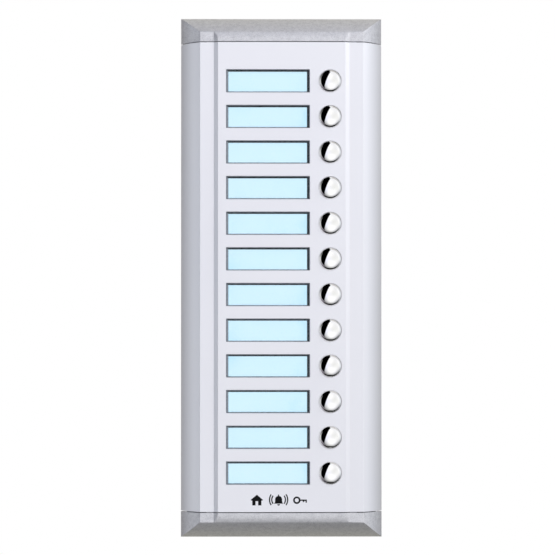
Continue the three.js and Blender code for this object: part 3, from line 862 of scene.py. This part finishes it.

# ----------------------------------------------------------------- keypad mat
# A thin sheet, and a dome on it behind each button, each dome with its own mesh; in the real mat the dome collapses as
# its button is pressed.
DOME_BASE = 9.3
mat_sheet = new_object("keypad_mat_sheet", *pad(21.4, 38.2, -134, 134, 9.1, 10.1, 1.2, 0.15, 5, True, 2))
boolean(mat_sheet, [loft([ring(BUTTON_X, row_z(i), 4.4, h, 48) for h in (8.0, 11.0)]) for i in range(ROWS)])
if not len(mat_sheet.data.polygons):
    raise RuntimeError("the mat sheet is empty")
finish_edges(mat_sheet, 34)
piece(mat_sheet, RUBBER, stands_for=["keypad_mat"])
dome_prof = [
    (4.0, DOME_BASE), (4.9, DOME_BASE), (4.9, 9.95), (4.86, 10.06), (4.78, 10.16),
    (3.62, 11.86), (3.5, 12.02), (3.3, 12.1), (0.02, 12.1),
    (0.02, 11.2), (2.4, 11.2), (2.6, 11.1), (3.92, 9.96), (4.0, 9.8), (4.0, DOME_BASE),
]
for i in range(ROWS):
    z = row_z(i)
    ob = new_object(f"keypad_mat_dome_{i + 1:02d}", *loft([ring(BUTTON_X, z, r, h, 48) for r, h in dome_prof], ends=False), sharp=50)
    bm = bmesh.new()
    bm.from_mesh(ob.data)
    bmesh.ops.remove_doubles(bm, verts=bm.verts, dist=1e-7)
    bmesh.ops.recalc_face_normals(bm, faces=bm.faces)
    bm.to_mesh(ob.data)
    bm.free()
    piece(ob, RUBBER)
    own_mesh(ob)

# ------------------------------------------------------------ circuit board
def cylinder(x, z, r, h0, h1, n=32, edge=0.0):
    loops = [ring(x, z, r, h0, n)]
    if edge:
        loops = [ring(x, z, r - edge, h0, n), ring(x, z, r, h0 + edge, n), ring(x, z, r, h1 - edge, n), ring(x, z, r - edge, h1, n)]
    else:
        loops.append(ring(x, z, r, h1, n))
    return loft(loops)


H_FRONT, H_BACK = 9.0, 7.4
slab = new_object("circuit_board_slab", *pad(-38.4, 38.4, -137.4, 137.4, H_BACK, H_FRONT, 1.0, 0.12, 4, True, 2))
boolean(slab, [cylinder(x, z, 1.6, 5, 12) for x in (-30, 18) for z in (-110, 110)])
finish_edges(slab, 30)
piece(slab, BOARD, stands_for=["circuit_board"])

lamps = []
for i in range(ROWS):
    for x in (-22, 5):
        z = row_z(i)
        lamps.append(pad(x - 1.6, x + 1.6, z - 0.8, z + 0.8, 8.98, 9.8, 0.1, 0.1, 3, False, 2))
piece(new_object("board_lamps", *join_parts(lamps), sharp=40), OPAL)

chips, leads, solder, ends = [], [], [], []
for x, z, w, d, t, kind in (
    (-6, -32, 10, 10, 1.6, "quad"), (-22, -30, 5, 4, 1.3, "dual"), (14, -28, 8, 5, 1.5, "dual"),
):
    chips.append(pad(x - w / 2 + 0.9, x + w / 2 - 0.9, z - d / 2 + (0.9 if kind == "quad" else 0.75), z + d / 2 - (0.9 if kind == "quad" else 0.75), H_BACK - t, H_BACK - 0.15, 0.12, 0.14, 3, True, 2))
    pitch = 0.8 if kind == "quad" else 1.27
    sides = [(0, 1), (0, -1)] + ([(1, 1), (1, -1)] if kind == "quad" else [])
    for axis, sgn in sides:
        span = (w if axis == 0 else d) - 2.6
        n = int(span / pitch) + 1
        for k in range(n):
            u = -pitch * (n - 1) / 2 + pitch * k
            half = 0.17 if kind == "quad" else 0.21
            body = (d if axis == 0 else w) / 2
            inner_r = body - (0.9 if kind == "quad" or axis else 0.75)
            # a bent lead: out of the body, down, and along the pad
            prof = [(inner_r - 0.1, H_BACK - t * 0.55), (inner_r + 0.28, H_BACK - t * 0.55), (inner_r + 0.42, H_BACK - 0.2), (body, H_BACK - 0.2),
                    (body, H_BACK - 0.02), (inner_r + 0.30, H_BACK - 0.02), (inner_r + 0.16, H_BACK - t * 0.55 + 0.2), (inner_r - 0.1, H_BACK - t * 0.55 + 0.2)]
            loops = []
            for e in (-half, half):
                if axis == 0:
                    loops.append([(x + u + e, h, z + sgn * q) for q, h in prof])
                else:
                    loops.append([(x + sgn * q, h, z + u + e) for q, h in prof])
            leads.append(loft(loops))
piece(new_object("board_chips", *join_parts(chips), sharp=40), CHIP)
piece(new_object("board_chip_leads", *join_parts(leads), sharp=30), TIN)

cans, sleeves = [], []
for x, z, w, t in ((24, -31, 4.4, 3.4), (30, -26, 4.4, 3.4)):
    r = w / 2 - 0.15
    prof = [(r, H_BACK - 0.75), (r - 0.16, H_BACK - 0.95), (r - 0.16, H_BACK - 1.05), (r, H_BACK - 1.25), (r, H_BACK - t + 0.25), (r - 0.07, H_BACK - t + 0.07), (r - 0.25, H_BACK - t), (0.2, H_BACK - t)]
    cans.append(loft([ring(x, z, q, h, 48) for q, h in prof]))
    sleeves.append(pad(x - w / 2, x + w / 2, z - w / 2, z + w / 2, H_BACK - 0.78, H_BACK - 0.01, 0.5, 0.08, 3, True, 2))
piece(new_object("board_capacitor_cans", *join_parts(cans), sharp=40), CAN)
piece(new_object("board_capacitor_feet", *join_parts(sleeves), sharp=40), CHIP)

small, caps_ = [], []
for x, z in ((-30, -44), (-24, -44), (-18, -44), (10, -44), (16, -44), (22, -44), (28, -44)):
    small.append(pad(x - 1.15, x + 1.15, z - 0.75, z + 0.75, H_BACK - 0.78, H_BACK - 0.02, 0.05, 0.05, 2, True, 2))
    for sgn in (-1, 1):
        a, b_ = sorted((x + sgn * 1.1, x + sgn * 1.6))
        caps_.append(pad(a, b_, z - 0.78, z + 0.78, H_BACK - 0.8, H_BACK - 0.01, 0.1, 0.1, 2, True, 2))
for k in range(6):  # solder under the terminal and the socket, and a row of test pads
    caps_.append(loft([ring(-33 + 2.54 + 5.08 * k, -54.4, q, h, 24) for q, h in ((1.0, H_BACK - 0.02), (0.85, H_BACK - 0.08), (0.35, H_BACK - 0.22))]))
for k in range(5):
    caps_.append(loft([ring(11.92 + 2.54 * k, -56.6, q, h, 24) for q, h in ((0.8, H_BACK - 0.02), (0.7, H_BACK - 0.07), (0.3, H_BACK - 0.2))]))
for k in range(7):
    caps_.append(loft([ring(-30 + 2.54 * k, -19.5, q, h, 24) for q, h in ((0.7, H_BACK - 0.02), (0.62, H_BACK - 0.05), (0.3, H_BACK - 0.09))]))
piece(new_object("board_small_parts", *join_parts(small), sharp=40), CERAMIC)
piece(new_object("board_solder", *join_parts(caps_), sharp=40), TIN)

# ---------------------------------------------------- terminal and link socket
TX0, TX1, TZ0, TZ1 = -33.0, -2.5, -67.0, -57.5
body = new_object("terminal_block_body", *pad(TX0, TX1, TZ0, TZ1, 1.2, H_BACK - 0.1, 0.4, 0.35, 4, True, 3))
cuts = []
for k in range(6):
    x = TX0 + 2.54 + 5.08 * k
    cuts.append(loft([ring(x, TZ1 - 4, q, h, 40) for q, h in ((2.0, 0.2), (2.0, 1.19), (1.75, 1.45), (1.7, 1.7), (1.7, 3.6))]))
    cuts.append(loft([
        [(x - a, h0, z), (x + a, h0, z), (x + a, h1, z), (x - a, h1, z)]
        for z, a, h0, h1 in ((TZ0 - 1, 2.0, 2.5, 6.3), (TZ0, 2.0, 2.5, 6.3), (TZ0 + 0.6, 1.6, 2.9, 5.9), (TZ0 + 5, 1.6, 2.9, 5.9))
    ]))
for k in range(5):  # grooves between the cells
    x = TX0 + 5.08 * (k + 1)
    cuts.append(loft([[(x - 0.2, h, z), (x + 0.2, h, z), (x + 0.2, h, z + 12), (x - 0.2, h, z + 12)] for h, z in ((0.5, TZ0 - 1), (1.55, TZ0 - 1))]))
boolean(body, cuts)
finish_edges(body, 34)
piece(body, GREEN, stands_for=["terminal_block"])

heads = []
for k in range(6):
    x, z = TX0 + 2.54 + 5.08 * k, TZ1 - 4
    heads.append(loft([ring(x, z, q, h, 40) for q, h in ((1.35, 2.35), (1.5, 2.5), (1.5, 3.55))]))
heads_ob = new_object("terminal_screws", *join_parts(heads))
slots = []
for k in range(6):
    x, z, a = TX0 + 2.54 + 5.08 * k, TZ1 - 4, 0.5 * k + 0.3
    ca, sa = math.cos(a), math.sin(a)
    quad = [(-1.8, -0.22), (1.8, -0.22), (1.8, 0.22), (-1.8, 0.22)]
    slots.append(loft([[(x + u * ca - v * sa, h, z + u * sa + v * ca) for u, v in quad] for h in (2.0, 3.0)]))
boolean(heads_ob, slots)
finish_edges(heads_ob, 30)
piece(heads_ob, ZINC)
cages = []
for k in range(6):
    x = TX0 + 2.54 + 5.08 * k
    cages.append(pad(x - 1.5, x + 1.5, TZ0 + 1.6, TZ0 + 4.9, 5.3, 5.85, 0.2, 0.1, 2, True, 2))
    cages.append(pad(x - 1.5, x + 1.5, TZ0 + 1.3, TZ0 + 4.9, 2.95, 3.3, 0.2, 0.1, 2, True, 2))
piece(new_object("terminal_cages", *join_parts(cages), sharp=40), ZINC)

LX0, LX1, LZ0, LZ1 = 9.0, 25.0, -66.0, -60.4
shroud = new_object("link_socket_shroud", *pad(LX0, LX1, LZ0, LZ1, 1.8, H_BACK - 0.1, 0.3, 0.2, 4, True, 3))
boolean(shroud, [pad(LX0 + 1, LX1 - 1, LZ0 + 1, LZ1 - 1, 0.0, 6.0, 0.2, 0.05, 3, True, 2)])
boolean(shroud, [pad(15.4, 18.6, LZ0 - 1, LZ0 + 2, 0.0, 5.0, 0.1, 0.02, 2, True, 1)])
if not len(shroud.data.polygons):
    raise RuntimeError("the socket shroud is empty")
finish_edges(shroud, 34)
piece(shroud, BLACK, stands_for=["link_socket"])
pins = []
for k in range(5):
    x, z = 11.92 + 2.54 * k, -63.2
    sq = lambda a, h: [(x - a, h, z - a), (x + a, h, z - a), (x + a, h, z + a), (x - a, h, z + a)]
    pins.append(loft([sq(0.14, 2.6), sq(0.32, 3.0), sq(0.32, 6.05)]))
piece(new_object("link_socket_pins", *join_parts(pins), sharp=30), GOLD)


# --------------------------------------------------------------------- screws
def screw(x, z, head, h_face, shank, recess, depth, turn):
    """head: (r, h) points from the face edge to the neck; shank: (r, h0, h1, tip)."""
    n = 60

    def lobes(r, h):
        out = []
        for i in range(n):
            a = 2 * math.pi * i / n
            out.append((x + r * (1 - 0.13 * (1 - math.cos(6 * a))) * math.cos(a + turn), h, z + r * (1 - 0.13 * (1 - math.cos(6 * a))) * math.sin(a + turn)))
        return out

    loops = [lobes(recess * 0.35, h_face + depth + 0.15), lobes(recess * 0.93, h_face + depth), lobes(recess, h_face + 0.08), lobes(recess + 0.07, h_face)]
    loops += [ring(x, z, r, h, n, turn) for r, h in head]
    r, h0, h1, tip = shank
    k = int((h1 - h0) / 0.25)
    for i in range(k + 1):
        h = h0 + (h1 - h0) * i / k
        crest = 0.16 if i % 4 == 2 else (0.0 if i % 4 == 0 else 0.06)
        loops.append(ring(x, z, r - 0.12 + crest, h, n, turn))
    loops.append(ring(x, z, 0.15, tip, n, turn))
    return loft(loops)


REAR = [(sx * 49.9, z) for sx in (-1, 1) for z in (120, 0, -120)]
for k in range(6):
    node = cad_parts[f"rear_screw_{k + 1}"]
    bb = [node.matrix_world @ Vector(c) for c in node.bound_box]
    x = sum(v.x for v in bb) / 8 / MM
    z = sum(v.z for v in bb) / 8 / MM
    v, f = screw(x, z, [(2.55, 1.1), (2.95, 1.16), (3.1, 1.3), (3.05, 1.45), (1.25, 3.1)], 1.1, (1.18, 3.3, 10.2, 11.15), 1.3, 0.85, rnd.uniform(0, 1))
    piece(new_object(f"rear_screw_{k + 1}_fine", v, f, sharp=30), ZINC, stands_for=[f"rear_screw_{k + 1}"])
for k in range(4):
    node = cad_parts[f"board_screw_{k + 1}"]
    bb = [node.matrix_world @ Vector(c) for c in node.bound_box]
    x = sum(v.x for v in bb) / 8 / MM
    z = sum(v.z for v in bb) / 8 / MM
    v, f = screw(x, z, [(1.75, 5.6), (2.2, 5.78), (2.45, 6.1), (2.5, 6.4), (2.5, 7.15), (2.4, 7.28), (1.25, 7.3)], 5.6, (1.18, 7.4, 12.0, 12.65), 1.1, 0.95, rnd.uniform(0, 1))
    piece(new_object(f"board_screw_{k + 1}_fine", v, f, sharp=30), ZINC, stands_for=[f"board_screw_{k + 1}"])

# ------------------------------------------------------- printed door symbols
PX, PZ = -2.0, -137.7
H_INK = H_PLATEAU + 0.035


def ink(points):
    return loft([[(PX + x, h, PZ + z) for x, z in points] for h in (H_PLATEAU - 0.02, H_INK)])


def arc_band(cx, cz, r, width, a0, a1, n=14):
    pts = []
    for q, order in ((r + width / 2, range(n + 1)), (r - width / 2, range(n, -1, -1))):
        for i in order:
            a = math.radians(a0 + (a1 - a0) * i / n)
            pts.append((cx + q * math.cos(a), cz + q * math.sin(a)))
    return pts


def disc(cx, cz, r, a0=0, a1=360, n=24):
    closed = a1 - a0 >= 360
    return [
        (cx + r * math.cos(math.radians(a0 + (a1 - a0) * i / n)), cz + r * math.sin(math.radians(a0 + (a1 - a0) * i / n)))
        for i in range(n if closed else n + 1)
    ]


marks = []
# bell, its clapper and the waves on both sides
dome = [(-3.0, -2.1), (-2.35, -1.5), (-2.15, -0.6)] + [(2.15 * math.cos(a), 0.5 + 2.15 * math.sin(a)) for a in (math.pi * (1 - k / 16) for k in range(17))] + [(2.15, -0.6), (2.35, -1.5), (3.0, -2.1)]
marks += [ink(dome), ink(disc(0, 3.05, 0.42)), ink(disc(0, -2.45, 0.85, 180, 360, 12))]
for side in (0, 180):
    for r in (4.2, 5.6):
        marks.append(ink(arc_band(0, 0.3, r, 0.75, side - 36, side + 36)))
# house with a doorway
marks.append(ink([(-17.2, 0.2), (-13.4, 3.4), (-9.6, 0.2), (-10.3, -0.35), (-10.6, -0.1), (-10.6, -3.2), (-12.6, -3.2), (-12.6, -0.6), (-14.2, -0.6), (-14.2, -3.2), (-16.2, -3.2), (-16.2, -0.1), (-16.5, -0.35)]))
# key: two half rings, a shaft and its bit
for a0 in (0, 180):
    marks.append(ink(arc_band(11.2, 0, 1.75, 1.05, a0 + 0.01, a0 + 179.99, 20)))
marks.append(ink([(13.3, 0.42), (17.4, 0.42), (17.4, -1.5), (16.6, -1.5), (16.6, -0.42), (15.8, -0.42), (15.8, -1.2), (15.0, -1.2), (15.0, -0.42), (13.3, -0.42)]))
piece(new_object("door_symbols_print", *join_parts(marks), sharp=30), INK)

# -------------------------------------------------------------- camera, lights
cam = bpy.data.cameras.new("camera")
cam.sensor_width = 36
cam.lens = 36 / (2 * math.tan(math.radians(13.72) / 2))
cam.shift_x, cam.shift_y = 0.040, 0.045
cam_ob = bpy.data.objects.new("camera", cam)
bpy.context.collection.objects.link(cam_ob)
cam_ob.location = (-0.030, -1.440, -0.039)
cam_ob.rotation_euler = (math.radians(90 + 0.93), 0, math.radians(-0.55))
bpy.context.scene.camera = cam_ob
cam.clip_end = 50

sc = bpy.context.scene
sc.view_settings.view_transform = "Standard"
sc.view_settings.look = "None"

# Soft lobes of light (direction, sharpness, colour) over an even base. Bays of the
# room are darker: each is cut out by planes, and takes away a share of the light.
BASE_LIGHT = (0.000, 0.000, 0.000)
LOBES = [
    ((0.500, -0.866, 0.000), 10.0, (0.351, 0.356, 0.325)),
    ((-0.342, -0.940, 0.000), 10.0, (0.555, 0.564, 0.681)),
    ((0.000, -0.883, 0.469), 10.0, (0.810, 0.799, 0.770)),
    ((0.000, -0.883, -0.469), 10.0, (0.834, 0.834, 0.815)),
    ((0.441, -0.765, 0.469), 10.0, (0.066, 0.069, 0.087)),
    ((0.441, -0.765, -0.469), 10.0, (0.487, 0.492, 0.532)),
    ((0.866, -0.500, 0.000), 8.0, (0.494, 0.478, 0.479)),
    ((0.709, -0.410, 0.574), 8.0, (0.666, 0.669, 0.688)),
    ((0.999, -0.035, 0.000), 8.0, (0.433, 0.470, 0.520)),
    ((-0.500, 0.866, 0.000), 7.0, (0.225, 0.180, 0.144)),
    ((-0.999, -0.035, 0.000), 10.0, (0.704, 0.718, 0.718)),
    ((-0.819, -0.029, -0.574), 8.0, (0.183, 0.160, 0.200)),
    ((0.000, -0.423, 0.906), 8.0, (0.518, 0.536, 0.584)),
    ((0.000, -0.000, 1.000), 7.0, (0.092, 0.074, 0.059)),
    ((0.423, -0.000, 0.906), 7.0, (0.175, 0.162, 0.139)),
    ((0.000, 0.766, 0.643), 6.0, (0.548, 0.526, 0.421)),
    ((0.000, 0.766, -0.643), 6.0, (0.473, 0.462, 0.370)),
]
DARK_BAYS = [
    (1.0, [((-0.887, 0.324, 0.330), 0.035), ((0.25, -0.85, 0.35), 0.21), ((-1.0, -0.10, -0.02), 0.0)]),
    (0.78, [((0, 0, -1), 0.81), ((0, -1, 0), 0.12)]),
]
SOFT_LIGHTS = [
    ((0.000, -0.420, 0.300), 0.25, 0.089, (1.000, 0.800, 1.000)),
    ((0.450, -0.200, 0.300), 0.2, 0.769, (0.927, 0.953, 1.000)),
    ((0.000, -0.500, 0.800), 0.35, 1.510, (0.721, 0.800, 1.000)),
    ((-0.800, -0.300, 0.000), 0.4, 1.251, (0.640, 0.800, 1.000)),
    ((0.100, 1.200, 0.050), 0.6, 9.0, (1.0, 1.0, 1.0)),
]


def build_world(base, lobes):
    world = bpy.data.worlds.new("studio")
    bpy.context.scene.world = world
    world.use_nodes = True
    wt = world.node_tree
    wt.nodes.clear()
    geo = wt.nodes.new("ShaderNodeTexCoord")

    def math_node(op, a, b=None, c=None):
        n = wt.nodes.new("ShaderNodeMath")
        n.operation = op
        for k, v in enumerate((a, b, c)):
            if v is None:
                continue
            if isinstance(v, (int, float)):
                n.inputs[k].default_value = v
            else:
                wt.links.new(v, n.inputs[k])
        return n.outputs[0]

    def along(direction):
        dot = wt.nodes.new("ShaderNodeVectorMath")
        dot.operation = "DOT_PRODUCT"
        dot.inputs[1].default_value = Vector(direction).normalized()
        wt.links.new(geo.outputs["Generated"], dot.inputs[0])
        return dot.outputs["Value"]

    acc = None
    for direction, sharp, colour in lobes:
        e = math_node("EXPONENT", math_node("MULTIPLY_ADD", along(direction), sharp, -sharp))
        v = wt.nodes.new("ShaderNodeVectorMath")
        v.operation = "MULTIPLY_ADD"
        v.inputs[0].default_value = colour
        wt.links.new(e, v.inputs[1])
        if acc is None:
            v.inputs[2].default_value = base
        else:
            wt.links.new(acc, v.inputs[2])
        acc = v.outputs[0]

    lit = None
    for amount, planes in DARK_BAYS:
        dark = None
        for direction, limit in planes:
            r = wt.nodes.new("ShaderNodeMapRange")
            r.interpolation_type = "SMOOTHSTEP"
            r.inputs["From Min"].default_value = limit - 0.02
            r.inputs["From Max"].default_value = limit + 0.02
            wt.links.new(along(direction), r.inputs["Value"])
            dark = r.outputs["Result"] if dark is None else math_node("MULTIPLY", dark, r.outputs["Result"])
        share = math_node("MULTIPLY_ADD", dark, -amount, 1.0)
        lit = share if lit is None else math_node("MULTIPLY", lit, share)
    scale = wt.nodes.new("ShaderNodeVectorMath")
    scale.operation = "SCALE"
    wt.links.new(acc, scale.inputs[0])
    wt.links.new(lit, scale.inputs["Scale"])

    bg = wt.nodes.new("ShaderNodeBackground")
    wt.links.new(scale.outputs[0], bg.inputs["Color"])
    white = wt.nodes.new("ShaderNodeBackground")
    white.inputs["Color"].default_value = (1, 1, 1, 1)
    lp = wt.nodes.new("ShaderNodeLightPath")
    mixw = wt.nodes.new("ShaderNodeMixShader")
    wt.links.new(lp.outputs["Is Camera Ray"], mixw.inputs[0])
    wt.links.new(bg.outputs[0], mixw.inputs[1])
    wt.links.new(white.outputs[0], mixw.inputs[2])
    wout = wt.nodes.new("ShaderNodeOutputWorld")
    wt.links.new(mixw.outputs[0], wout.inputs[0])
    return world


def soft_light(name, loc, size, power, colour=(1, 1, 1)):
    """A square soft box that lights but isn't mirrored."""
    l = bpy.data.lights.new(name, "AREA")
    l.shape = "RECTANGLE"
    l.size = l.size_y = size
    l.energy = power
    l.color = colour
    o = bpy.data.objects.new(name, l)
    bpy.context.collection.objects.link(o)
    o.location = loc
    o.rotation_euler = (-Vector(loc)).to_track_quat("-Z", "Y").to_euler()
    o.visible_glossy = False
    return o


build_world(BASE_LIGHT, LOBES)
for k, (loc, size, power, colour) in enumerate(SOFT_LIGHTS):
    soft_light(f"soft_box_{k + 1}", loc, size, power, colour)

# a plain pale floor, far below, that fades out into the white of the room
floor_m, t, b = nodes_of("pale_floor")
n = noise(t, coords(t), 9, 2.0, 0.5)
t.links.new(ramp(t, n, [(0.3, (0.90, 0.90, 0.90)), (0.7, (0.915, 0.915, 0.915))]), b.inputs["Base Color"])
b.inputs["Roughness"].default_value = 1.0
b.inputs["Specular IOR Level"].default_value = 0.0
c = t.nodes.new("ShaderNodeTexCoord")
ln = t.nodes.new("ShaderNodeVectorMath")
ln.operation = "LENGTH"
flat = t.nodes.new("ShaderNodeMapping")
flat.inputs["Scale"].default_value = (1, 1, 0)
t.links.new(c.outputs["Object"], flat.inputs["Vector"])
t.links.new(flat.outputs["Vector"], ln.inputs[0])
fade = t.nodes.new("ShaderNodeMapRange")
fade.interpolation_type = "SMOOTHSTEP"
fade.inputs["From Min"].default_value = 0.5
fade.inputs["From Max"].default_value = 2.5
fade.inputs["To Min"].default_value = 0.5
fade.inputs["To Max"].default_value = 0.0
t.links.new(ln.outputs["Value"], fade.inputs["Value"])
t.links.new(fade.outputs["Result"], b.inputs["Alpha"])
loops = [[(r * math.cos(2 * math.pi * i / 64), -r * math.sin(2 * math.pi * i / 64), -520) for i in range(64)] for r in (2600, 1900, 1200, 600, 200)]
floor = new_object("floor", *loft(loops, ends=False))
bm = bmesh.new()
bm.from_mesh(floor.data)
bmesh.ops.contextual_create(bm, geom=[e for e in bm.edges if e.is_boundary and all(v.co.xy.length < 0.25 for v in e.verts)])
bm.to_mesh(floor.data)
bm.free()
floor.data.materials.append(floor_m)
floor.visible_glossy = False
floor.visible_diffuse = False
floor.visible_shadow = False
